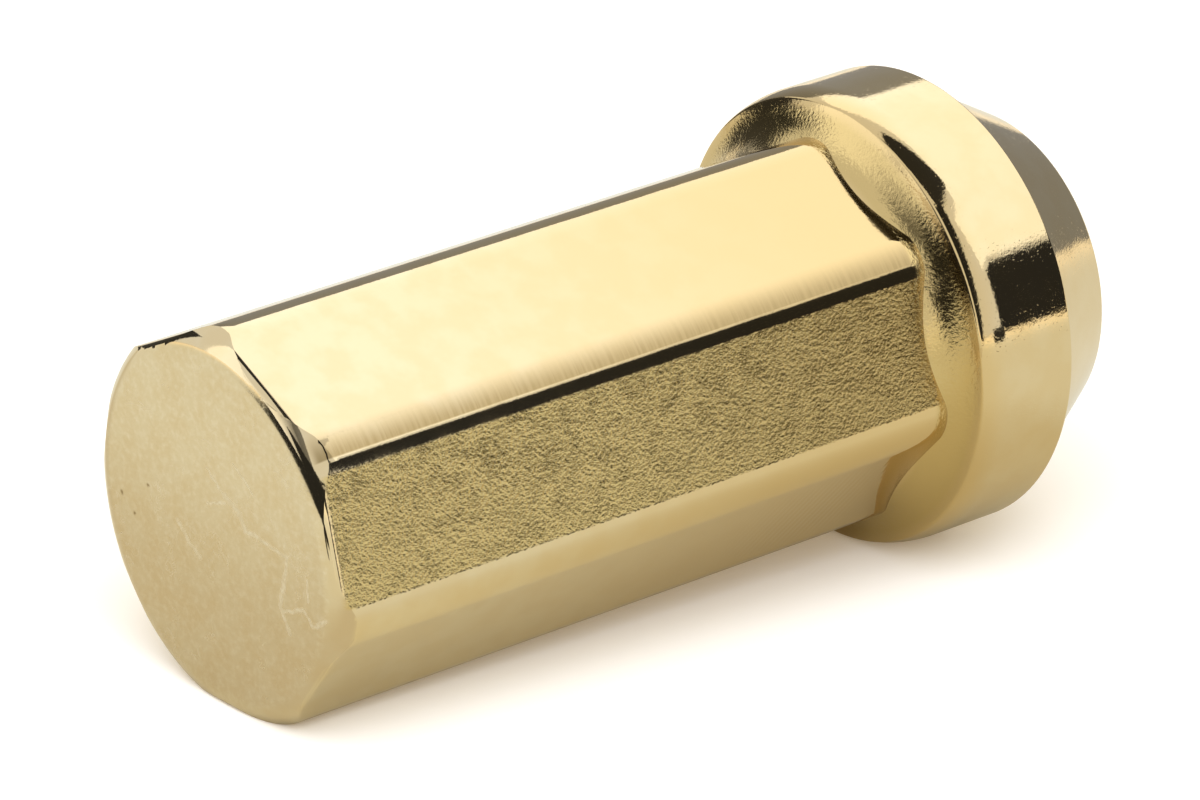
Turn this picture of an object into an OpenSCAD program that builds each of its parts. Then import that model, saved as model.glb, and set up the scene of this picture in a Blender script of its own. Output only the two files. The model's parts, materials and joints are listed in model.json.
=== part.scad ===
// Closed-end lug nut with a seven-sided drive body, a flange and a cone seat.
// It lies as it comes to rest: on the closed end's lower edge and on the flange.
// Millimetres, +Z up, +X from the closed end towards the open end, origin under its middle.

/* [Drive body] */
// Number of flats round the drive body
flats = 7; // [6:1:8]
// Diameter of the circle that touches all the flats
flat_circle_d = 18.8; // [18.2:0.1:19]
// Rounding of the long edges between the flats
long_edge_r = 2.6; // [2.2:0.05:3]
// Rounding of the edge between the closed end and each flat
end_edge_r = 0.55; // [0.3:0.05:0.8]
// Diameter of the closed end's flat middle, where its turned edge begins
end_flat_d = 17.2; // [16.4:0.1:17.4]
// Section radius of the closed end's turned edge
end_turn_r = 1.6; // [1.6:0.1:2.2]

/* [Flange] */
// Overall length, closed end to open end
overall_len = 50; // [48:0.5:54]
// Diameter of the flange's straight band
flange_d = 24; // [23.6:0.1:26]
// Length of the straight band
band_len = 4.2; // [3:0.1:5]
// Diameter of the sharp edge at the back of the flange
back_edge_d = 23.4; // [22.6:0.1:23.5]
// Length of the rounded shoulder between the back edge and the band
shoulder_len = 1.5; // [1:0.1:2.5]
// Length of the hollow back, from the middle of a flat to the back edge
hollow_len = 1.6; // [1.4:0.1:2.2]
// Section radius of the hollow back
hollow_r = 4; // [3:0.1:8]

/* [Seat] */
// Included angle of the cone seat, in degrees
seat_angle = 60; // [55:1:65]
// Diameter of the cone seat where it meets the flange
seat_d = 22.9; // [22.2:0.1:23.4]
// Length of the cone seat
seat_len = 5.6; // [4.5:0.1:6]
// Broken corner round the open end
nose_break = 0.3; // [0.1:0.05:0.5]

/* [Bore] */
// Thread's nominal diameter
thread_d = 12; // [10:0.5:12]
// Thread's pitch
thread_pitch = 1.5; // [1:0.25:1.75]
// Depth of the bore's straight wall, from the open end
bore_depth = 40; // [30:0.5:41]
// Included angle of the drilled point at the bore's end, in degrees
drill_angle = 118; // [90:1:140]
// How far the mouth's countersink reaches past the thread, on the radius
mouth_clear = 0.25; // [0.1:0.05:0.5]

/* [Hidden] */
$fn = 96;

// Radii that the sections use
flat_r = flat_circle_d / 2;
end_flat_r = end_flat_d / 2;
flange_r = flange_d / 2;
back_edge_r = back_edge_d / 2;
seat_r = seat_d / 2;
open_r = seat_r - seat_len * tan(seat_angle / 2);
flat_step = 360 / flats;

// The round corners stand this far proud of the flats before the flats are cut, so that the two cross
corner_proud = 0.005;
corner_centre_r = (flat_r + corner_proud - long_edge_r) / cos(flat_step / 2);

// Each end edge's rounding starts just outside its flat, so that the two cross instead of grazing
end_edge_lead = 0.01;
end_room_r = flat_r + end_edge_lead;
end_edge_rise = end_edge_r - end_edge_lead;
end_edge_s = end_edge_r - sqrt(end_edge_r * end_edge_r - end_edge_rise * end_edge_rise);

// Places along the nut's axis, from the closed end
rim_s = overall_len - seat_len;
band_s = rim_s - band_len;
back_edge_s = band_s - shoulder_len;
hollow_s = back_edge_s - hollow_len;

// The basic thread profile leaves this wall, 1.0825 pitches under the nominal diameter
thread_depth_ratio = 1.0825;
bore_r = (thread_d - thread_depth_ratio * thread_pitch) / 2;
mouth_r = thread_d / 2 + mouth_clear;
bore_end_s = overall_len - bore_depth;

// Length of the narrow land left on the back edge, between the hollow and the shoulder
back_land = 0.05;

// Section radius of the shoulder, which runs into the band and stops at the back edge
shoulder_drop = flange_r - back_edge_r;
shoulder_r = (shoulder_len * shoulder_len + shoulder_drop * shoulder_drop) / (2 * shoulder_drop);

// Lying down: the lower flat's edge at the closed end and the flange's shoulder touch the floor
rest_run = band_s - end_edge_s;
rest_rise = (flange_r - shoulder_r) - flat_r;
rest_reach = norm([rest_run, rest_rise]);
rest_tilt = atan(rest_rise / rest_run) + asin(shoulder_r / rest_reach);
rest_lift = shoulder_r + (flange_r - shoulder_r) * cos(rest_tilt) - band_s * sin(rest_tilt);
rest_min_x = end_turn_r * (cos(rest_tilt) - 1) - end_flat_r * sin(rest_tilt);
rest_max_x = overall_len * cos(rest_tilt) + (open_r - nose_break) * sin(rest_tilt);

// Direction of corner i across the axis, with a flat facing down
function corner_angle(i) = -90 + (i + 0.5) * flat_step;

// Centre of the circle of radius r through points a and b, on the left of the way from a to b
function arc_centre(a, b, r) =
    let (chord = b - a, half = norm(chord) / 2)
    (a + b) / 2 + [-chord.y, chord.x] / (2 * half) * sqrt(r * r - half * half);

// Section across the drive body before its flats are cut: a blank with round corners
module blank_section() {
    blank_points = [
        for (i = [0 : flats - 1], side = [-0.5, 0.5])
            let (a = corner_angle(i), b = a + side * flat_step)
            corner_centre_r * [cos(a), sin(a)] + (long_edge_r - corner_proud / 2) * [cos(b), sin(b)]
    ];
    polygon(blank_points);
    for (i = [0 : flats - 1])
        rotate(corner_angle(i))
            translate([corner_centre_r, 0])
                circle(long_edge_r);
}

// Section across the drive body: straight flats between round corners
module body_section() {
    flat_points = [
        for (i = [0 : flats - 1])
            flat_r / cos(flat_step / 2) * [cos(corner_angle(i)), sin(corner_angle(i))]
    ];
    intersection() {
        polygon(flat_points);
        blank_section();
    }
}

// Room on the inner side of one flat, with the closed end's edge rounded off
module flat_room() {
    rotate([90, 0, 90])
        linear_extrude(4 * flat_r, center = true)
            union() {
                translate([end_edge_r - end_room_r, end_edge_r])
                    circle(end_edge_r);
                translate([-end_room_r, end_edge_r])
                    square([3 * flat_r, overall_len]);
                translate([end_edge_r - end_room_r, 0])
                    square([3 * flat_r - end_edge_r, overall_len]);
            }
}

// Room inside the closed end's turned edge, as a solid of revolution
module turned_end_room() {
    rotate_extrude()
        union() {
            translate([end_flat_r, end_turn_r])
                circle(end_turn_r);
            square([end_flat_r, overall_len]);
            translate([0, end_turn_r])
                square([end_flat_r + end_turn_r, overall_len]);
        }
}

module drive_body() {
    intersection() {
        linear_extrude(band_s)
            body_section();
        turned_end_room();
        intersection_for (i = [0 : flats - 1])
            rotate(i * flat_step)
                flat_room();
    }
}

// Half section of the flange and its cone seat
module flange_section() {
    polygon([
        [0, band_s],
        [flange_r, band_s],
        [flange_r, rim_s],
        [seat_r, rim_s],
        [open_r + nose_break * tan(seat_angle / 2), overall_len - nose_break],
        [open_r - nose_break, overall_len],
        [0, overall_len]
    ]);
    intersection() {
        translate([0, back_edge_s - back_land / 2])
            square([flange_r, shoulder_len + back_land / 2]);
        translate([flange_r - shoulder_r, band_s])
            circle(shoulder_r);
    }
    hollow_start = [flat_r, hollow_s];
    hollow_end = [back_edge_r, back_edge_s - back_land];
    difference() {
        translate([0, hollow_s - hollow_len / 2])
            square([back_edge_r, 1.5 * hollow_len + shoulder_len]);
        translate(arc_centre(hollow_end, hollow_start, hollow_r))
            circle(hollow_r);
    }
}

// The blind bore: countersunk mouth, straight wall at the thread's crests, drilled point
module bore_room() {
    rotate_extrude()
        polygon([
            [0, bore_end_s - bore_r / tan(drill_angle / 2)],
            [bore_r, bore_end_s],
            [bore_r, overall_len - (mouth_r - bore_r)],
            [mouth_r, overall_len],
            [mouth_r, overall_len + 1],
            [0, overall_len + 1]
        ]);
}

// Turns the upright nut onto its side, as it rests
module lay_down() {
    translate([-(rest_min_x + rest_max_x) / 2, 0, rest_lift])
        rotate([0, -rest_tilt, 0])
            rotate([90, 0, 90])
                children();
}

module lug_nut() {
    color("#d6c28c")
        lay_down()
            difference() {
                union() {
                    drive_body();
                    rotate_extrude()
                        flange_section();
                }
                bore_room();
            }
}

lug_nut();
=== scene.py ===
"""Dresses the closed-end lug nut: its mesh, its gold plating and the studio round it."""
import json
import math

import bpy
from mathutils import Matrix, Vector


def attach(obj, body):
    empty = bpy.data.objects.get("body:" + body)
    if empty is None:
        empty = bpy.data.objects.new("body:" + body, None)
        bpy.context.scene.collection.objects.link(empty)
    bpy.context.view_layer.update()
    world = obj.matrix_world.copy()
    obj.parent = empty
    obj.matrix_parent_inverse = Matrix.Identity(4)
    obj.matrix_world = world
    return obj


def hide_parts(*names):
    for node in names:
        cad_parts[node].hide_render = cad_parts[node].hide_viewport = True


MM = 0.001

# Sizes of the nut in millimetres, the same as the solid's
FLATS = 7
FLAT_R = 9.4
LONG_EDGE_R = 2.6
END_EDGE_R = 0.55
END_FLAT_R = 8.6
END_TURN_R = 1.6
LENGTH = 50.0
SEAT_LEN = 5.6
BAND_LEN = 4.2
SHOULDER_LEN = 1.5
HOLLOW_LEN = 1.6
HOLLOW_R = 4.0
FLANGE_R = 12.0
BACK_EDGE_R = 11.7
SEAT_R = 11.45
SEAT_HALF_ANGLE = math.radians(30)
NOSE_BREAK = 0.3
BORE_R = 5.188
BORE_DEPTH = 40.0
DRILL_HALF_ANGLE = math.radians(59)
MOUTH_R = 6.25
THREAD_R = 6.0
THREAD_PITCH = 1.5

# Form of the thread, which only this mesh has
THREAD_HALF_ANGLE = math.radians(30)
THREAD_ROOT_W = THREAD_PITCH / 8
THREAD_RUN_OUT = 4.0
GROOVE_SIDES = 4

# Places along the nut's axis, from the closed end
RIM_S = LENGTH - SEAT_LEN
BAND_S = RIM_S - BAND_LEN
BACK_EDGE_S = BAND_S - SHOULDER_LEN
HOLLOW_S = BACK_EDGE_S - HOLLOW_LEN
BORE_END_S = LENGTH - BORE_DEPTH
OPEN_R = SEAT_R - SEAT_LEN * math.tan(SEAT_HALF_ANGLE)

# Directions round the axis, from +Y upwards, with a flat facing down
HALF_FLAT = math.pi / FLATS
FLAT_STEP = 2 * HALF_FLAT
LOWER_FLAT = math.radians(-90)

# The fifth flat on from the lower one kept its forged grain, and the next has chatter marks
GRAINED_FLAT = LOWER_FLAT + 5 * FLAT_STEP
CHATTERED_FLAT = GRAINED_FLAT + FLAT_STEP

# Fineness of the mesh
ROUND_STEPS = 144
SOFT_STEPS = 4
END_EDGE_STEPS = 5
SHOULDER_STEPS = 8
CURVE_STEPS = 12
THREAD_STEPS = 48
FLOOR_STEPS = 96
SMOOTH_ANGLE = math.radians(24)

# Bevel profile of a round corner
ROUND_PROFILE = 0.5

# Softened edges, in millimetres
BACK_EDGE_SOFTNESS = 0.1
TURNED_EDGE_SOFTNESS = 0.14

# Small gaps and overlaps that keep the cuts clean, in millimetres
TOOL_REACH = 1.0
END_LEAD = 0.001
HOLLOW_LEAD = 0.2
TAP_OVERLAP = 0.2
DRILL_TIP_R = 0.05
MERGE_GAP = 0.002

# Faces nearer to the closed end than this, in millimetres, are never inside the bore
END_WALL = 2.0

# The camera of the photograph, fitted to the nut's outline, in metres
CAMERA_PLACE = Vector((-0.2139, -0.25977, 0.13785))
CAMERA_TARGET = Vector((0.00139, 0.0033, 0.00921))
CAMERA_ROLL = math.radians(1.624)
CAMERA_NEAR = 0.01

# Its lens and sensor, in millimetres
CAMERA_LENS = 216.75
CAMERA_SENSOR = 36.0

# Plating colours, as linear values
BRIGHT_GOLD = (0.69, 0.58, 0.37)
WARM_GOLD = (0.67, 0.545, 0.325)
# Painted shade: the hollow's deeper gold stands in for the darkening of its double reflections
HOLLOW_SHADED_GOLD = (0.58, 0.44, 0.195)
# The closed end's scuffs and haze are real wear; their paler colour is a painted sheen
SCUFF_SHEEN_GOLD = (0.84, 0.76, 0.58)
AMBER_GOLD = (0.64, 0.485, 0.24)
GRAINED_GOLD = (0.66, 0.52, 0.235)
GRAINED_AMBER = (0.51, 0.385, 0.165)
PIT_BROWN = (0.3, 0.22, 0.1)
# Painted shade: dark brown on the long edge above the grained flat, standing in for a dark
# reflection there
EDGE_SHADE_BROWN = (0.33, 0.245, 0.115)
THREAD_GOLD = (0.44, 0.35, 0.19)

# Marks on the closed end: places across and up from its middle, then a width, in millimetres
SCRATCHES = [
    ([(0.36, 3.03), (-1.05, 2.01)], 0.15),
    ([(-1.05, 2.01), (-2.07, 1.61), (-2.57, 0.79)], 0.38),
    ([(-2.57, 0.79), (-3.77, 0.67), (-4.56, 0.57), (-5.91, 0.51), (-5.69, -0.4)], 0.24),
    ([(-5.69, -0.4), (-5.15, -2.35), (-5.87, -3.46)], 0.26),
    ([(-5.38, -2.54), (-7.02, -1.87), (-7.77, -2.49), (-9.15, -1.75)], 0.2),
    ([(-1.85, 4.03), (-3.37, 2.87)], 0.12),
    ([(-7.45, -0.16), (-7.45, -1.36)], 0.15),
    ([(0.48, 1.18), (-1.03, 1.73)], 0.15),
    ([(3.08, -0.57), (2.08, -1.45), (1.3, -1.93)], 0.26),
]
PITS = [
    ([(5.4, 0.51), (5.42, 0.5)], 0.16),
    ([(7.68, -0.66), (7.7, -0.6)], 0.18),
    ([(6.65, -1.39), (6.67, -1.38)], 0.15),
]

# How far the marks wander off their straight lines, in millimetres
WANDER = 0.35

# Where the plating changes along the axis, in millimetres: start and end of each change
CLOSED_END_FADE = (0.02, 0.12)
BODY_START = (0.35, 0.7)
BODY_END = (HOLLOW_S, HOLLOW_S + 0.3)
HOLLOW_START = (HOLLOW_S - 0.1, HOLLOW_S + 0.3)
HOLLOW_END = (BACK_EDGE_S - 0.25, BACK_EDGE_S)
FLANGE_START = (HOLLOW_S, BACK_EDGE_S)
AMBER_START = (2.0, HOLLOW_S)
AMBER_END = (BACK_EDGE_S, BAND_S)
GRAINED_AMBER_START = (14.0, HOLLOW_S)
CHATTER_START = (24.0, 31.0)
CHATTER_END = (32.5, 35.5)
BORE_SPAN = (BORE_END_S, LENGTH)

# Where it changes round the axis, in radians from the middle of a flat or long edge
GRAINED_SIDE = (0.325, 0.345)
CHATTER_SIDE = (0.15, 0.38)
# Span round the axis of the painted shade on the long edge
EDGE_SHADE_START = (-0.11, 0.04)
EDGE_SHADE_END = (0.036, 0.048)

# Relief of the plating, in millimetres
CHATTER_PITCH = 0.45
CHATTER_HEIGHT = 0.0035
GRAIN_SIZE = 0.19
GRAIN_PATCH_SIZE = 5 * GRAIN_SIZE
GRAIN_HEIGHT = 0.035
SPECK_SIZE = 0.14
SPECK_HEIGHT = 0.0016
WAVE_SIZE = 2.6
WAVE_HEIGHT = 0.012

# Slant of the chatter marks, in millimetres to the radian
CHATTER_SLANT = 2.5

# Noise clumps to the millimetre
MOTTLE_PER_MM = 0.5
THREAD_MOTTLE_PER_MM = 0.8
HAZE_PER_MM = 2.4
SCUFF_PATCHES_PER_MM = 0.35
WANDER_PER_MM = 2.0
STREAKS_PER_MM = 4.0

# Hairline scuffs: the size of the winding lines in millimetres and their width as a noise level
SCUFF_LINES = ((2.2, 0.012), (1.1, 0.016))
SCUFF_WARP = 0.8

# Middle level of every noise
NOISE_MIDDLE = 0.5

# Noise levels between which each effect goes from least to most
EVEN_LEVELS = (0.3, 0.7)
MOTTLE_LEVELS = (0.35, 0.65)
SPECK_LEVELS = (0.7, 0.82)
SCUFF_PATCH_LEVELS = (0.42, 0.62)
BROKEN_LEVELS = (0.42, 0.6)
HAZE_LEVELS = (0.4, 0.75)

# Strength of each effect, as least and most where there are two
GRAIN_PATCH_DEPTH = (0.6, 1.3)
TURNED_GRAIN = (0.04, 0.11)
HOLLOW_GRAIN = 0.65
THREAD_GRAIN = 0.5
AMBER_ON_BAND = 0.35
STREAK_STRENGTH = (0.86, 1.0)
SCUFF_STRENGTH = 0.6
SCUFF_PATCH_STRENGTH = (0.1, 1.0)
BROKEN_STRENGTH = (0.35, 0.8)
HAZE_STRENGTH = 0.42

# Roughness of the plating, and what wear and dullness add to it
PLATE_ROUGHNESS = (0.045, 0.075)
THREAD_ROUGHNESS = (0.25, 0.4)
WORN_ROUGHNESS = 0.25
DULL_ROUGHNESS = 0.09
PART_DULL = 0.5

# Radius of the paper floor, in metres
FLOOR_R = 4.0

# Its colours, as linear values
PAPER_SEEN = (0.86, 0.87, 0.88)
PAPER_MIRRORED = (0.657, 0.66, 0.61)
PAPER_LIFT_TINT = (1, 0.75, 0.45)
SHADE_LEFT = (0.65, 0.615, 0.475)
SHADE_RIGHT = (0.54, 0.5, 0.375)
SHADE_BY_END = (0.54, 0.51, 0.43)
PAST_EDGE_DARK = (0.02, 0.02, 0.02)

# Where the mirrored paper changes, in metres from its middle: start and end of each change
SHADE_ACROSS = (0.01, 0.035)
SHADE_ALONG = (0.026, 0.034)
SHADE_CHANGE = (-0.02, 0.02)
END_SHADE_START = (-0.042, -0.03)
END_SHADE_END = (-0.026, -0.022)
FAR_LIFT_SPAN = (0.1, 0.4)
PAPER_EDGE_AWAY = (0.072, 0.082)

# Direction of the paper's near edge from +Y towards +X, and its half width, in radians
PAPER_EDGE_TURN = math.radians(-93)
PAPER_EDGE_SIDE = (0.55, 0.59)

# Light that the paper adds of itself
FLOOR_LIFT_SEEN = 0.2
FLOOR_LIFT_MIRRORED = 0.05
FLOOR_LIFT_FAR = 0.5

# Light from all round
WHITE = (1, 1, 1)
FILL_COLOUR = (1, 0.92, 0.76)
FILL_STRENGTH = 0.85

# The lamp: degrees from +Y towards +X, degrees above the floor, metres and watts
SOFTBOX_TURN = -140
SOFTBOX_RISE = 47
SOFTBOX_AWAY = 1.2
SOFTBOX_SIZE = 1.2
SOFTBOX_POWER = 17.0
SOFTBOX_COLOUR = (0.9, 0.97, 1.1)

# Cards that only the plating mirrors, placed as the lamp is, in degrees and metres
# Name, turn, rise, distance, width, height, greys at the low-turn and high-turn sides
CARDS = [
    ("back_panel", 75, 49, 1.0, 1.81, 0.77, (1.7, 1.6)),
    ("right_panel", 140, 42, 1.0, 0.5, 0.45, (1.6, 1.6)),
    ("left_panel", -51, 17, 0.9, 0.31, 0.73, (1.45, 1.6)),
    ("left_falloff", -79.5, 17, 0.9, 0.5, 0.73, (0.3, 1.4)),
    ("left_stand", -73, 22, 0.8, 0.085, 0.085, (0.55, 0.55)),
    ("left_overhead_gap", -76, 76, 0.85, 0.3, 0.18, (0.06, 0.06)),
    ("camera_side", -174.5, 29, 0.3, 0.1, 0.4, (0.03, 0.03)),
    ("left_front_card", -102.5, 6, 0.5, 0.414, 0.158, (0.03, 0.03)),
    ("left_front_gap", -98, 24, 0.5, 0.11, 0.18, (0.25, 0.2)),
    ("gap_overhead", 150, 81, 0.9, 0.5, 0.62, (0.04, 0.04)),
    ("low_right_card", 124, 12.5, 1.5, 1.4, 0.832, (0.03, 0.03)),
    ("low_front_card", 152, 1.6, 0.25, 0.08, 0.034, (0.04, 0.04)),
    ("rim_card", 72, 20, 0.6, 0.277, 0.126, (0.08, 0.08)),
    ("right_card", 69, 6, 0.6, 0.69, 0.17, (0.32, 0.3)),
    ("far_right_card", 28, 15, 0.6, 0.39, 0.37, (0.25, 0.36)),
    ("far_card", -11.5, 10, 0.2, 0.155, 0.122, (0.04, 0.08)),
]

# Numbers of the Mix node's colour sockets, because its other kinds use the same names
MIX_AMOUNT = 0
MIX_FIRST = 6
MIX_SECOND = 7
MIX_RESULT = 2


def start_piece(add, **options):
    """Adds a primitive with nothing else selected and leaves it in edit mode."""
    bpy.ops.object.select_all(action="DESELECT")
    add(**options)
    piece = bpy.context.object
    bpy.ops.object.mode_set(mode="EDIT")
    return piece


def end_piece():
    """Points the faces outwards and leaves edit mode."""
    bpy.ops.mesh.select_all(action="SELECT")
    bpy.ops.mesh.normals_make_consistent(inside=False)
    bpy.ops.object.mode_set(mode="OBJECT")


def select_edges(piece, wanted):
    """Selects, in edit mode, the edges whose two ends pass the test."""
    bpy.ops.mesh.select_all(action="DESELECT")
    bpy.ops.object.mode_set(mode="OBJECT")
    points = piece.data.vertices
    for edge in piece.data.edges:
        a, b = (points[i].co / MM for i in edge.vertices)
        edge.select = wanted(a, b)
    bpy.ops.object.mode_set(mode="EDIT")


def arc(centre, radius, start, end, steps):
    """Points on an arc, as (radius, place) pairs of a half section."""
    points = []
    for i in range(steps + 1):
        turn = start + (end - start) * i / steps
        points.append((centre[0] + radius * math.cos(turn), centre[1] + radius * math.sin(turn)))
    return points


def soften(corner, before, after, softness):
    """Rounds one corner of a half section, starting and ending a softness away from it."""
    corner, before, after = Vector(corner), Vector(before), Vector(after)
    start = corner + (before - corner).normalized() * softness
    end = corner + (after - corner).normalized() * softness
    points = []
    for i in range(SOFT_STEPS + 1):
        t = i / SOFT_STEPS
        points.append(tuple(start * (1 - t) ** 2 + corner * 2 * t * (1 - t) + end * t ** 2))
    return points


def draw_out(section):
    """Draws the selected face out, resizing it from ring to ring of a half section."""
    for (r_now, s_now), (r_next, s_next) in zip(section, section[1:]):
        step = (0, 0, (s_next - s_now) * MM)
        bpy.ops.mesh.extrude_region_move(TRANSFORM_OT_translate={"value": step})
        growth = r_next / r_now
        bpy.ops.transform.resize(value=(growth, growth, 1), center_override=(0, 0, s_next * MM))


def start_ring(vertices, radius, place):
    """A filled ring across the axis, in edit mode."""
    piece = start_piece(
        bpy.ops.mesh.primitive_circle_add,
        vertices=vertices,
        radius=radius * MM,
        fill_type="NGON",
        location=(0, 0, place * MM),
    )
    bpy.ops.object.mode_set(mode="OBJECT")
    bpy.ops.object.transform_apply()
    bpy.ops.object.mode_set(mode="EDIT")
    bpy.ops.mesh.select_all(action="SELECT")
    return piece


def turned(section):
    """A solid of revolution from its half section."""
    piece = start_ring(ROUND_STEPS, *section[0])
    draw_out(section)
    end_piece()
    return piece


def combine(piece, tool, operation):
    """Joins the tool to the piece, cuts it out, or keeps what they share, and removes the tool."""
    modifier = piece.modifiers.new(operation.lower(), "BOOLEAN")
    modifier.operation = operation
    modifier.solver = "EXACT"
    modifier.object = tool
    bpy.context.view_layer.objects.active = piece
    bpy.ops.object.modifier_apply(modifier=modifier.name)
    bpy.data.objects.remove(tool)


def drive_body():
    """The seven-sided body: a ring with round corners, drawn out past the end's rounded edge."""
    middle = (FLAT_R - END_EDGE_R, END_EDGE_R)
    edge = arc(middle, END_EDGE_R, -math.pi / 2, 0, END_EDGE_STEPS)
    start_r = edge[0][0]
    shrink = start_r / FLAT_R
    piece = start_ring(FLATS, start_r / math.cos(HALF_FLAT), 0)
    bpy.ops.mesh.bevel(
        offset=LONG_EDGE_R * math.tan(HALF_FLAT) * shrink * MM,
        segments=CURVE_STEPS,
        profile=ROUND_PROFILE,
        affect="VERTICES",
        clamp_overlap=False,
    )
    bpy.ops.mesh.select_all(action="SELECT")
    rings = [(FLAT_R, END_TURN_R), (FLAT_R, HOLLOW_S - HOLLOW_LEAD), (FLAT_R, BAND_S)]
    draw_out(edge + rings)
    end_piece()
    return piece


def turned_end_room():
    """The room that the closed end's turned edge leaves."""
    edge = arc((END_FLAT_R, END_TURN_R), END_TURN_R, -math.pi / 2, 0, CURVE_STEPS)
    outside = [(END_FLAT_R, -TOOL_REACH), (END_FLAT_R, END_LEAD)]
    return turned(outside + edge[1:] + [(END_FLAT_R + END_TURN_R, LENGTH)])


def hollow_arc():
    """The flange's hollow back, from inside the drive body to its sharp edge."""
    start = Vector((FLAT_R, HOLLOW_S))
    end = Vector((BACK_EDGE_R, BACK_EDGE_S))
    chord = start - end
    half = chord.length / 2
    side = Vector((-chord.y, chord.x)).normalized()
    centre = (start + end) / 2 + side * math.sqrt(HOLLOW_R ** 2 - half ** 2)
    lead = HOLLOW_LEN / 2
    first = math.atan2(start.y - lead - centre.y, start.x - lead - centre.x)
    last = math.atan2(end.y - centre.y, end.x - centre.x)
    return arc(centre, HOLLOW_R, first, last, CURVE_STEPS)


def shoulder_arc():
    """The flange's rounded shoulder, from its sharp back edge to its band."""
    drop = FLANGE_R - BACK_EDGE_R
    radius = (SHOULDER_LEN ** 2 + drop ** 2) / (2 * drop)
    first = -math.asin(SHOULDER_LEN / radius)
    return arc((FLANGE_R - radius, BAND_S), radius, first, 0, SHOULDER_STEPS)


def flange():
    """The flange and its cone seat, with softened edges."""
    hollow = hollow_arc()
    shoulder = shoulder_arc()
    corners = [
        shoulder[-1],
        (FLANGE_R, RIM_S),
        (SEAT_R, RIM_S),
        (OPEN_R + NOSE_BREAK * math.tan(SEAT_HALF_ANGLE), LENGTH - NOSE_BREAK),
        (OPEN_R - NOSE_BREAK, LENGTH),
    ]
    section = hollow[:-1]
    section += soften(hollow[-1], hollow[-2], shoulder[1], BACK_EDGE_SOFTNESS)
    section += shoulder[1:]
    for before, corner, after in zip(corners, corners[1:], corners[2:]):
        section += soften(corner, before, after, TURNED_EDGE_SOFTNESS)
    return turned(section + [corners[-1]])


def bore_tool():
    """What the drill and the countersink take out."""
    tip_s = BORE_END_S - (BORE_R - DRILL_TIP_R) / math.tan(DRILL_HALF_ANGLE)
    return turned([
        (DRILL_TIP_R, tip_s),
        (BORE_R, BORE_END_S),
        (BORE_R, LENGTH - (MOUTH_R - BORE_R)),
        (MOUTH_R, LENGTH),
        (MOUTH_R, LENGTH + TOOL_REACH),
    ])


def thread_tool():
    """What the tap takes out: a right-hand helical groove, narrower at its root."""
    depth = THREAD_R - BORE_R + TAP_OVERLAP
    middle_r = THREAD_R - depth / 2
    mouth_w = THREAD_ROOT_W + 2 * depth * math.tan(THREAD_HALF_ANGLE)
    start_s = BORE_END_S + THREAD_RUN_OUT
    plane = bpy.ops.mesh.primitive_plane_add
    piece = start_piece(plane, size=1, rotation=(math.pi / 2, 0, 0))
    bpy.ops.object.mode_set(mode="OBJECT")
    piece.scale = (depth * MM, mouth_w * MM, 1)
    piece.location = (middle_r * MM, 0, start_s * MM)
    bpy.ops.object.transform_apply()
    bpy.ops.object.mode_set(mode="EDIT")
    select_edges(piece, lambda a, b: min(a.x, b.x) > middle_r)
    narrowing = (1, 1, THREAD_ROOT_W / mouth_w)
    bpy.ops.transform.resize(value=narrowing, center_override=(0, 0, start_s * MM))
    bpy.ops.mesh.select_all(action="SELECT")
    bpy.ops.mesh.delete(type="ONLY_FACE")
    bpy.ops.object.mode_set(mode="OBJECT")
    screw = piece.modifiers.new("tap", "SCREW")
    screw.axis = "Z"
    screw.angle = 2 * math.pi
    screw.screw_offset = THREAD_PITCH * MM
    screw.iterations = math.ceil((BORE_DEPTH - THREAD_RUN_OUT) / THREAD_PITCH) + 1
    screw.steps = screw.render_steps = THREAD_STEPS
    bpy.ops.object.modifier_apply(modifier=screw.name)
    bpy.ops.object.mode_set(mode="EDIT")
    bpy.ops.mesh.select_all(action="SELECT")
    bpy.ops.mesh.fill_holes(sides=GROOVE_SIDES)
    end_piece()
    return piece


def mount(name):
    """A mount of the record, by name."""
    return next(m for m in frame["record"]["mounts"] if m["name"] == name)


def rest_place():
    """The matrix that lays the upright nut down where the solid rests."""
    along = Vector(mount("stud_thread")["axis"]).normalized()
    across = Vector((0, 1, 0))
    up = along.cross(across)
    turn = Matrix((across, up, along)).transposed().to_4x4()
    return Matrix.Translation(Vector(mount("closed_end")["pos_m"])) @ turn


def lug_nut():
    """The whole nut, forged, turned, drilled and tapped, then laid down."""
    piece = drive_body()
    piece.name = "lug_nut_forging"
    combine(piece, turned_end_room(), "INTERSECT")
    combine(piece, flange(), "UNION")
    combine(piece, bore_tool(), "DIFFERENCE")
    combine(piece, thread_tool(), "DIFFERENCE")
    bpy.ops.object.select_all(action="DESELECT")
    piece.select_set(True)
    bpy.context.view_layer.objects.active = piece
    bpy.ops.object.mode_set(mode="EDIT")
    bpy.ops.mesh.select_all(action="SELECT")
    bpy.ops.mesh.remove_doubles(threshold=MERGE_GAP * MM)
    end_piece()
    piece.matrix_world = rest_place()
    bpy.ops.object.transform_apply()
    bpy.ops.object.shade_smooth_by_angle(angle=SMOOTH_ANGLE)
    weighted = piece.modifiers.new("flat_faces", "WEIGHTED_NORMAL")
    weighted.keep_sharp = True
    bpy.ops.object.modifier_apply(modifier=weighted.name)
    return piece


def feed(tree, socket, value):
    """Links a socket to another one or sets it to a constant; a colour is set opaque."""
    if isinstance(value, bpy.types.NodeSocket):
        tree.links.new(value, socket)
    elif socket.type == "RGBA":
        socket.default_value = (*value, 1)
    else:
        socket.default_value = value


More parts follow.
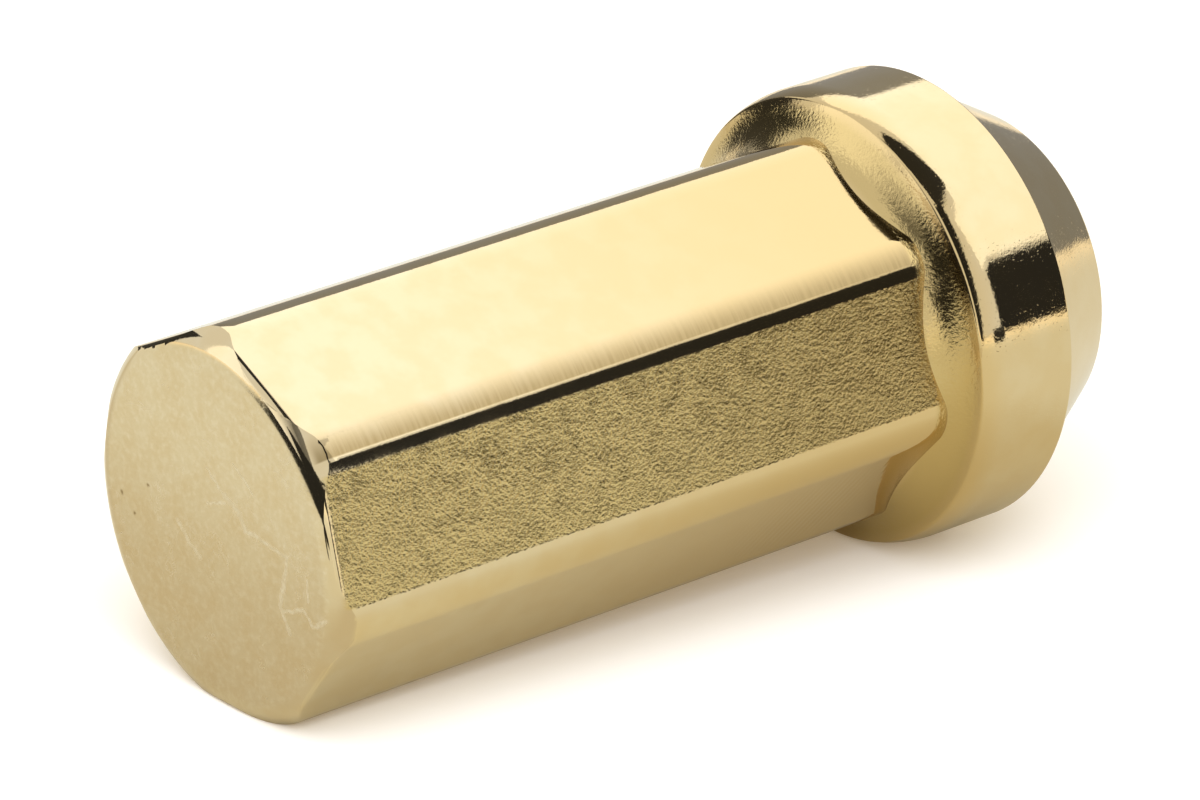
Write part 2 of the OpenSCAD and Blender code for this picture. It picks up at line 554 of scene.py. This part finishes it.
def wire(tree, kind, inputs, **settings):
    """Adds a shader node, sets it up, and feeds its inputs by name or number."""
    node = tree.nodes.new(f"ShaderNode{kind}")
    for name, value in settings.items():
        setattr(node, name, value)
    for key, value in inputs.items():
        feed(tree, node.inputs[key], value)
    return node


def new_material(name):
    """A material with nodes, and its node tree."""
    material = bpy.data.materials.new(name)
    material.use_nodes = True
    return material, material.node_tree


def new_group(name, inputs, outputs):
    """An empty shader node group with named sockets, given as name and kind."""
    group = bpy.data.node_groups.new(name, "ShaderNodeTree")
    for socket, kind in inputs.items():
        group.interface.new_socket(socket, in_out="INPUT", socket_type=f"NodeSocket{kind}")
    for socket, kind in outputs.items():
        group.interface.new_socket(socket, in_out="OUTPUT", socket_type=f"NodeSocket{kind}")
    given = group.nodes.new("NodeGroupInput").outputs
    return group, given, group.nodes.new("NodeGroupOutput").inputs


def use_group(tree, group, inputs):
    """Places a node group and feeds it."""
    return wire(tree, "Group", inputs, node_tree=group).outputs[0]


def calculate(tree, operation, *values):
    """Works along the values, each with the result so far."""
    result = values[0]
    for value in values[1:]:
        result = wire(tree, "Math", {0: result, 1: value}, operation=operation).outputs[0]
    return result


def absolute(tree, value):
    """A value without its sign."""
    return wire(tree, "Math", {0: value}, operation="ABSOLUTE").outputs[0]


def fade(tree, value, span, low=0.0, high=1.0):
    """A smooth change from low to high while the value goes from start to end of a span."""
    start, end = span
    inputs = {"Value": value, "From Min": start, "From Max": end, "To Min": low, "To Max": high}
    return wire(tree, "MapRange", inputs, interpolation_type="SMOOTHSTEP").outputs["Result"]


def between(tree, value, start, end):
    """1 between two spans, fading in over the first and out over the second."""
    return calculate(tree, "MULTIPLY", fade(tree, value, start), fade(tree, value, end, 1.0, 0.0))


def noise(tree, place, per_mm, **inputs):
    """A noise with so many clumps to the millimetre."""
    return wire(tree, "TexNoise", {"Vector": place, "Scale": per_mm, **inputs}).outputs[0]


def mix_colours(tree, amount, first, second):
    """A blend of two colours."""
    inputs = {MIX_AMOUNT: amount, MIX_FIRST: first, MIX_SECOND: second}
    return wire(tree, "Mix", inputs, data_type="RGBA").outputs[MIX_RESULT]


def plate_relief():
    """Group: wormy grain and sparse specks over gentle waves, as a height in metres."""
    sockets = {"Place": "Vector", "Grain": "Float", "Specks": "Float"}
    group, given, result = new_group("plate_relief", sockets, {"Height": "Float"})
    place = given["Place"]
    dust = noise(group, place, 1 / SPECK_SIZE, Detail=0.0)
    speck = fade(group, dust, SPECK_LEVELS, 0.0, SPECK_HEIGHT * MM)
    specks = calculate(group, "MULTIPLY", speck, given["Specks"])
    fine = noise(group, place, 1 / GRAIN_SIZE, Detail=3.0, Roughness=0.55)
    patches = noise(group, place, 1 / GRAIN_PATCH_SIZE, Detail=2.0)
    depth = fade(group, patches, EVEN_LEVELS, *GRAIN_PATCH_DEPTH)
    bumps = calculate(group, "SUBTRACT", fine, NOISE_MIDDLE)
    grain_height = calculate(group, "MULTIPLY", given["Grain"], GRAIN_HEIGHT * MM)
    grain = calculate(group, "MULTIPLY", bumps, depth, grain_height)
    waves = noise(group, place, 1 / WAVE_SIZE, Detail=1.0)
    wave = calculate(group, "MULTIPLY", waves, WAVE_HEIGHT * MM)
    group.links.new(calculate(group, "ADD", grain, wave, specks), result["Height"])
    return group


def plate_scuffs():
    """Group: hairline scuffs in patches, drawn as thin contour lines of two warped noises."""
    sockets = {"Place": "Vector", "Amount": "Float"}
    group, given, result = new_group("plate_scuffs", sockets, {"Mask": "Float"})
    lines = []
    for size, width in SCUFF_LINES:
        winding = noise(group, given["Place"], 1 / size, Detail=3.0, Distortion=SCUFF_WARP)
        away = absolute(group, calculate(group, "SUBTRACT", winding, NOISE_MIDDLE))
        lines.append(fade(group, away, (0.0, width), 1.0, 0.0))
    patches = noise(group, given["Place"], SCUFF_PATCHES_PER_MM, Detail=2.0)
    where = fade(group, patches, SCUFF_PATCH_LEVELS, *SCUFF_PATCH_STRENGTH)
    line = calculate(group, "MAXIMUM", *lines)
    mask = calculate(group, "MULTIPLY", line, where, given["Amount"])
    group.links.new(mask, result["Mask"])
    return group


def end_scratch():
    """Group: 1 on a straight mark that runs a way from its start, fading out over its width."""
    sockets = {"Place": "Vector", "Start": "Vector", "Run": "Vector", "Width": "Float"}
    group, given, result = new_group("end_scratch", sockets, {"Mask": "Float"})

    def vectors(operation, inputs, output):
        return wire(group, "VectorMath", inputs, operation=operation).outputs[output]

    run = given["Run"]
    off_start = vectors("SUBTRACT", {0: given["Place"], 1: given["Start"]}, "Vector")
    reach = vectors("DOT_PRODUCT", {0: off_start, 1: run}, "Value")
    whole = vectors("DOT_PRODUCT", {0: run, 1: run}, "Value")
    share = wire(group, "Math", {0: reach, 1: whole}, operation="DIVIDE", use_clamp=True)
    nearest = vectors("SCALE", {0: run, "Scale": share.outputs[0]}, "Vector")
    gap = vectors("DISTANCE", {0: off_start, 1: nearest}, "Value")
    group.links.new(fade(group, gap, (0.0, given["Width"]), 1.0, 0.0), result["Mask"])
    return group


def nut_place(tree):
    """The place on the upright nut in millimetres: across, up, and along from the closed end."""
    upright = rest_place().inverted()
    inputs = {
        "Vector": wire(tree, "TexCoord", {}).outputs["Object"],
        "Location": upright.translation / MM,
        "Rotation": upright.to_3x3().to_euler(),
        "Scale": (1 / MM, 1 / MM, 1 / MM),
    }
    return wire(tree, "Mapping", inputs).outputs["Vector"]


def along_axis(tree, place):
    """The distance along the nut's axis from the closed end, in millimetres."""
    return wire(tree, "SeparateXYZ", {"Vector": place}).outputs["Z"]


def around_from(tree, place, middle):
    """How far round the axis a spot lies from a direction, within half a turn, in radians."""
    spot = wire(tree, "SeparateXYZ", {"Vector": place}).outputs
    turn = calculate(tree, "ARCTAN2", spot["Y"], spot["X"])
    off = calculate(tree, "SUBTRACT", turn, middle)
    return wire(tree, "Math", {0: off, 1: math.pi, 2: -math.pi}, operation="WRAP").outputs[0]


def on_body(tree, along):
    """1 along the drive body's flats, 0 at the closed end and from the hollow on."""
    return between(tree, along, BODY_START, BODY_END)


def grained_flat(tree, place, along):
    """1 on the one flat that kept its forged grain, 0 elsewhere."""
    off = absolute(tree, around_from(tree, place, GRAINED_FLAT))
    across = fade(tree, off, GRAINED_SIDE, 1.0, 0.0)
    return calculate(tree, "MULTIPLY", across, on_body(tree, along))


def painted_edge_shade(tree, place, along):
    """1 on a painted shade: a streaked brown band that darkens the long edge above the grained
    flat, in place of a dark reflection.
    """
    off = around_from(tree, place, GRAINED_FLAT - HALF_FLAT)
    band = between(tree, off, EDGE_SHADE_START, EDGE_SHADE_END)
    inputs = {"W": along, "Scale": STREAKS_PER_MM, "Detail": 3.0}
    streaks = wire(tree, "TexNoise", inputs, noise_dimensions="1D").outputs[0]
    streaked = fade(tree, streaks, EVEN_LEVELS, *STREAK_STRENGTH)
    return calculate(tree, "MULTIPLY", band, streaked, on_body(tree, along))


def chatter_marks(tree, place, along):
    """Faint slanting ripples on one flat beside the flange, as a height in metres."""
    off = around_from(tree, place, CHATTERED_FLAT)
    slanted = calculate(tree, "ADD", calculate(tree, "MULTIPLY", off, CHATTER_SLANT), along)
    turns = calculate(tree, "MULTIPLY", slanted, 2 * math.pi / CHATTER_PITCH)
    ripples = wire(tree, "Math", {0: turns}, operation="SINE").outputs[0]
    across = fade(tree, absolute(tree, off), CHATTER_SIDE, 1.0, 0.0)
    beside_flange = between(tree, along, CHATTER_START, CHATTER_END)
    where = calculate(tree, "MULTIPLY", across, beside_flange)
    return calculate(tree, "MULTIPLY", ripples, where, CHATTER_HEIGHT * MM)


def end_marks(tree, place, scratch, marks):
    """The scratches or pits of a list, each a line of places on the closed end and a width."""
    inputs = {"Vector": place, "Scale": WANDER_PER_MM, "Detail": 3.0}
    wander = wire(tree, "TexNoise", inputs).outputs["Color"]
    inputs = {0: wander, 1: (WANDER, WANDER, 0), 2: place}
    moved = wire(tree, "VectorMath", inputs, operation="MULTIPLY_ADD").outputs[0]
    lines = []
    for line, width in marks:
        for start, end in zip(line, line[1:]):
            inputs = {
                "Place": moved,
                "Start": (start[0] + WANDER / 2, start[1] + WANDER / 2, 0),
                "Run": (end[0] - start[0], end[1] - start[1], 0),
                "Width": width,
            }
            lines.append(use_group(tree, scratch, inputs))
    return calculate(tree, "MAXIMUM", *lines)


def plate_areas(tree, place, along):
    """1 on each area of the nut that has a finish or a painted shade of its own, by name."""
    return {
        "closed_end": fade(tree, along, CLOSED_END_FADE, 1.0, 0.0),
        "grained": grained_flat(tree, place, along),
        "edge_shade": painted_edge_shade(tree, place, along),
        "hollow": between(tree, along, HOLLOW_START, HOLLOW_END),
        "flange": fade(tree, along, FLANGE_START),
    }


def end_wear(tree, place, closed_end, scuffs):
    """Masks of the closed end's scuffs and of its pits."""
    scratch = end_scratch()
    scratches = end_marks(tree, place, scratch, SCRATCHES)
    scratched = calculate(tree, "MULTIPLY", scratches, closed_end)
    amount = calculate(tree, "MULTIPLY", closed_end, SCUFF_STRENGTH)
    hairlines = use_group(tree, scuffs, {"Place": place, "Amount": amount})
    scuffed = calculate(tree, "MAXIMUM", scratched, hairlines)
    pits = end_marks(tree, place, scratch, PITS)
    return scuffed, calculate(tree, "MULTIPLY", pits, closed_end)


def plate_colour(tree, along, areas, mottle):
    """Mottled gold that turns amber towards the flange, with each area's own tone, and painted
    shade on the long edge above the grained flat and in the hollow.
    """
    colour = mix_colours(tree, fade(tree, mottle, MOTTLE_LEVELS), BRIGHT_GOLD, WARM_GOLD)
    towards_flange = fade(tree, along, AMBER_START)
    past_back_edge = fade(tree, along, AMBER_END, 1.0, AMBER_ON_BAND)
    amber = calculate(tree, "MULTIPLY", towards_flange, past_back_edge)
    colour = mix_colours(tree, amber, colour, AMBER_GOLD)
    grained_amber = fade(tree, along, GRAINED_AMBER_START)
    grained = mix_colours(tree, grained_amber, GRAINED_GOLD, GRAINED_AMBER)
    colour = mix_colours(tree, areas["grained"], colour, grained)
    # Painted shade: the long edge darkened to a brown band in place of a dark reflection
    colour = mix_colours(tree, areas["edge_shade"], colour, EDGE_SHADE_BROWN)
    # Painted shade in the hollow: deeper gold for its double reflections
    return mix_colours(tree, areas["hollow"], colour, HOLLOW_SHADED_GOLD)


def worn_colour(tree, place, colour, closed_end, scuffed, pitted):
    """The colour with the closed end's haze, broken scuffs and pits on it; the haze and scuffs are
    real wear, paled by a painted sheen.
    """
    haze = noise(tree, place, HAZE_PER_MM, Detail=5.0, Roughness=0.7)
    kept = fade(tree, haze, BROKEN_LEVELS, *BROKEN_STRENGTH)
    broken = calculate(tree, "MULTIPLY", scuffed, kept)
    hazed = fade(tree, haze, HAZE_LEVELS, 0.0, HAZE_STRENGTH)
    hazed = calculate(tree, "MULTIPLY", hazed, closed_end)
    shown = calculate(tree, "MAXIMUM", broken, hazed)
    # Painted sheen: the scuffs and haze turn paler
    colour = mix_colours(tree, shown, colour, SCUFF_SHEEN_GOLD)
    return mix_colours(tree, pitted, colour, PIT_BROWN)


def plate_roughness(tree, areas, mottle, scuffed):
    """A near mirror, duller in the hollow and on the grained flat, and most on the closed end."""
    worn = calculate(tree, "MULTIPLY", scuffed, WORN_ROUGHNESS)
    rough_parts = calculate(tree, "MAXIMUM", areas["hollow"], areas["grained"])
    part_dull = calculate(tree, "MULTIPLY", rough_parts, PART_DULL)
    duller = calculate(tree, "MAXIMUM", areas["closed_end"], part_dull)
    dull = calculate(tree, "MULTIPLY", duller, DULL_ROUGHNESS)
    return calculate(tree, "ADD", worn, dull, fade(tree, mottle, EVEN_LEVELS, *PLATE_ROUGHNESS))


def plate_height(tree, place, along, areas, relief):
    """Grain on its flat, less of it in the hollow, a trace elsewhere, and the chatter marks."""
    turned_grain = fade(tree, areas["flange"], (0.0, 1.0), *TURNED_GRAIN)
    hollow_grain = calculate(tree, "MULTIPLY", areas["hollow"], HOLLOW_GRAIN)
    grain = calculate(tree, "MAXIMUM", hollow_grain, turned_grain, areas["grained"])
    inputs = {"Place": place, "Grain": grain, "Specks": areas["flange"]}
    height = use_group(tree, relief, inputs)
    return calculate(tree, "ADD", height, chatter_marks(tree, place, along))


def show_metal(tree, colour, roughness, height):
    """Gives the material's shader its colour, roughness and relief."""
    bump = wire(tree, "Bump", {"Height": height, "Distance": 1.0, "Strength": 1.0})
    shader = tree.nodes["Principled BSDF"]
    feed(tree, shader.inputs["Metallic"], 1.0)
    feed(tree, shader.inputs["Base Color"], colour)
    feed(tree, shader.inputs["Roughness"], roughness)
    feed(tree, shader.inputs["Normal"], bump.outputs[0])


def gold_plate(relief, scuffs):
    """Bright gold plating, grained where the forging shows and scuffed on the closed end."""
    material, tree = new_material("gold_plate")
    place = nut_place(tree)
    along = along_axis(tree, place)
    areas = plate_areas(tree, place, along)
    closed_end = areas["closed_end"]
    scuffed, pitted = end_wear(tree, place, closed_end, scuffs)
    mottle = noise(tree, place, MOTTLE_PER_MM, Detail=3.0)
    colour = plate_colour(tree, along, areas, mottle)
    colour = worn_colour(tree, place, colour, closed_end, scuffed, pitted)
    roughness = plate_roughness(tree, areas, mottle, scuffed)
    show_metal(tree, colour, roughness, plate_height(tree, place, along, areas, relief))
    return material


def thread_plate(relief):
    """Thinner, duller plating inside the bore, brighter towards its mouth."""
    material, tree = new_material("thread_plate")
    place = nut_place(tree)
    near_mouth = fade(tree, along_axis(tree, place), BORE_SPAN)
    mottle = noise(tree, place, THREAD_MOTTLE_PER_MM, Detail=3.0)
    brighter = calculate(tree, "MULTIPLY", near_mouth, mottle)
    colour = mix_colours(tree, brighter, THREAD_GOLD, WARM_GOLD)
    roughness = fade(tree, mottle, EVEN_LEVELS, *THREAD_ROUGHNESS)
    height = use_group(tree, relief, {"Place": place, "Grain": THREAD_GRAIN, "Specks": 0.0})
    show_metal(tree, colour, roughness, height)
    return material


def plate(nut):
    """Puts the bright plating on the nut and the duller one on the faces inside its bore."""
    relief = plate_relief()
    nut.data.materials.clear()
    nut.data.materials.append(gold_plate(relief, plate_scuffs()))
    nut.data.materials.append(thread_plate(relief))
    upright = rest_place().inverted()
    for face in nut.data.polygons:
        spot = (upright @ face.center) / MM
        in_bore = math.hypot(spot.x, spot.y) < MOUTH_R and spot.z > END_WALL
        face.material_index = int(in_bore)


def studio_world():
    """White where it is seen or mirrored, and a softer fill where it lights."""
    world = bpy.data.worlds.new("studio")
    bpy.context.scene.world = world
    world.use_nodes = True
    tree = world.node_tree
    fill = tree.nodes["Background"]
    feed(tree, fill.inputs["Color"], FILL_COLOUR)
    feed(tree, fill.inputs["Strength"], FILL_STRENGTH)
    white = wire(tree, "Background", {"Color": WHITE})
    path = wire(tree, "LightPath", {}).outputs
    rays = ("Is Camera Ray", "Is Glossy Ray", "Is Transmission Ray")
    shown = calculate(tree, "MAXIMUM", *(path[ray] for ray in rays))
    mix = wire(tree, "MixShader", {"Fac": shown, 1: fill.outputs[0], 2: white.outputs[0]})
    tree.links.new(mix.outputs[0], tree.nodes["World Output"].inputs["Surface"])


def past_paper_edge(tree, spot, away):
    """1 past the paper's edge on the closed end's side, where the mirrored floor is dark."""
    turn = calculate(tree, "ARCTAN2", spot["X"], spot["Y"])
    off = absolute(tree, calculate(tree, "SUBTRACT", turn, PAPER_EDGE_TURN))
    across = fade(tree, off, PAPER_EDGE_SIDE, 1.0, 0.0)
    return calculate(tree, "MULTIPLY", across, fade(tree, away, PAPER_EDGE_AWAY))


def mirrored_paper(tree, spot, past_edge):
    """The paper's colour as the plating mirrors it: shaded near the nut, dark past its edge."""
    near_across = fade(tree, absolute(tree, spot["Y"]), SHADE_ACROSS, 1.0, 0.0)
    near_along = fade(tree, absolute(tree, spot["X"]), SHADE_ALONG, 1.0, 0.0)
    beside = calculate(tree, "MULTIPLY", near_across, near_along)
    shade = mix_colours(tree, fade(tree, spot["X"], SHADE_CHANGE), SHADE_LEFT, SHADE_RIGHT)
    colour = mix_colours(tree, beside, PAPER_MIRRORED, shade)
    by_the_end = between(tree, spot["X"], END_SHADE_START, END_SHADE_END)
    colour = mix_colours(tree, by_the_end, colour, SHADE_BY_END)
    return mix_colours(tree, past_edge, colour, PAST_EDGE_DARK)


def floor_material():
    """Pale paper, lifted towards white where it is seen or mirrored."""
    material, tree = new_material("paper")
    tree.nodes.remove(tree.nodes["Principled BSDF"])
    path = wire(tree, "LightPath", {}).outputs
    mirrored = calculate(tree, "MAXIMUM", path["Is Glossy Ray"], path["Is Transmission Ray"])
    place = wire(tree, "TexCoord", {}).outputs["Object"]
    spot = wire(tree, "SeparateXYZ", {"Vector": place}).outputs
    away = wire(tree, "VectorMath", {0: place}, operation="LENGTH").outputs["Value"]
    past_edge = past_paper_edge(tree, spot, away)
    on_paper = calculate(tree, "SUBTRACT", 1.0, past_edge)
    far_lift = fade(tree, away, FAR_LIFT_SPAN, FLOOR_LIFT_MIRRORED, FLOOR_LIFT_FAR)
    lift_seen = calculate(tree, "MULTIPLY", path["Is Camera Ray"], FLOOR_LIFT_SEEN)
    lift_mirrored = calculate(tree, "MULTIPLY", far_lift, on_paper, mirrored)
    strength = calculate(tree, "ADD", lift_seen, lift_mirrored)
    lift = wire(tree, "Emission", {"Color": PAPER_LIFT_TINT, "Strength": strength})
    colour = mix_colours(tree, mirrored, PAPER_SEEN, mirrored_paper(tree, spot, past_edge))
    paper = wire(tree, "BsdfDiffuse", {"Color": colour})
    both = wire(tree, "AddShader", {0: lift.outputs[0], 1: paper.outputs[0]})
    tree.links.new(both.outputs[0], tree.nodes["Material Output"].inputs["Surface"])
    return material


def card_material(greys):
    """Card that shows one grey at its low-turn side and another at its high-turn side."""
    material, tree = new_material("card")
    tree.nodes.remove(tree.nodes["Principled BSDF"])
    across = wire(tree, "TexCoord", {}).outputs["UV"]
    sideways = wire(tree, "SeparateXYZ", {"Vector": across}).outputs["X"]
    low_side, high_side = greys
    grey = fade(tree, sideways, (0.0, 1.0), high_side, low_side)
    card = wire(tree, "Emission", {"Strength": grey})
    tree.links.new(card.outputs[0], tree.nodes["Material Output"].inputs["Surface"])
    return material


def towards(turn, rise):
    """The direction that many degrees from +Y towards +X, and that many above the floor."""
    turn, rise = math.radians(turn), math.radians(rise)
    level = math.cos(rise)
    return Vector((math.sin(turn) * level, math.cos(turn) * level, math.sin(rise)))


def facing(direction):
    """The rotation that turns a card or lamp out there towards the nut."""
    return direction.to_track_quat("Z", "Y").to_euler()


def lay_floor():
    """The paper that the nut lies on."""
    circle = bpy.ops.mesh.primitive_circle_add
    floor = start_piece(circle, vertices=FLOOR_STEPS, radius=FLOOR_R, fill_type="NGON")
    end_piece()
    floor.name = "floor"
    floor.data.materials.append(floor_material())


def hang_cards():
    """The light panels and dark cards round the nut, which only its plating mirrors."""
    for name, turn, rise, away, width, height, greys in CARDS:
        way = towards(turn, rise)
        bpy.ops.object.select_all(action="DESELECT")
        bpy.ops.mesh.primitive_plane_add(size=1, location=way * away, rotation=facing(way))
        piece = bpy.context.object
        piece.name = name
        piece.scale = (width, height, 1)
        piece.data.materials.append(card_material(greys))
        piece.visible_camera = piece.visible_diffuse = piece.visible_shadow = False


def light_softbox():
    """The soft lamp above the camera, which the plating doesn't mirror."""
    way = towards(SOFTBOX_TURN, SOFTBOX_RISE)
    lamp = bpy.data.objects.new("softbox", bpy.data.lights.new("softbox", "AREA"))
    bpy.context.collection.objects.link(lamp)
    lamp.data.shape = "SQUARE"
    lamp.data.size = SOFTBOX_SIZE
    lamp.data.energy = SOFTBOX_POWER
    lamp.data.color = SOFTBOX_COLOUR
    lamp.location = way * SOFTBOX_AWAY
    lamp.rotation_euler = facing(way)
    lamp.visible_glossy = False


def photo_camera():
    """The photograph's viewpoint."""
    camera = bpy.data.objects.new("camera", bpy.data.cameras.new("camera"))
    bpy.context.collection.objects.link(camera)
    camera.data.sensor_width = CAMERA_SENSOR
    camera.data.lens = CAMERA_LENS
    camera.data.clip_start = CAMERA_NEAR
    camera.location = CAMERA_PLACE
    look = (CAMERA_TARGET - CAMERA_PLACE).to_track_quat("-Z", "Y").to_matrix()
    camera.rotation_euler = (look @ Matrix.Rotation(CAMERA_ROLL, 3, "Z")).to_euler()
    bpy.context.scene.camera = camera


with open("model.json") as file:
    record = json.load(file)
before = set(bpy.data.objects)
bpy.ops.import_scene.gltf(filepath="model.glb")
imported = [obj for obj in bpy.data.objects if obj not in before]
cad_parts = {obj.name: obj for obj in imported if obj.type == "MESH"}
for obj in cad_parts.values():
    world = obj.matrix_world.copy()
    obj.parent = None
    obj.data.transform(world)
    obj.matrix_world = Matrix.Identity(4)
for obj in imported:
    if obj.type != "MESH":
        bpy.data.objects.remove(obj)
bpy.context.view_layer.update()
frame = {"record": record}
nut = lug_nut()
plate(nut)
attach(nut, "root")
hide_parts("lug_nut")
studio_world()
lay_floor()
hang_cards()
light_softbox()
photo_camera()
bpy.context.scene.view_settings.view_transform = "Standard"
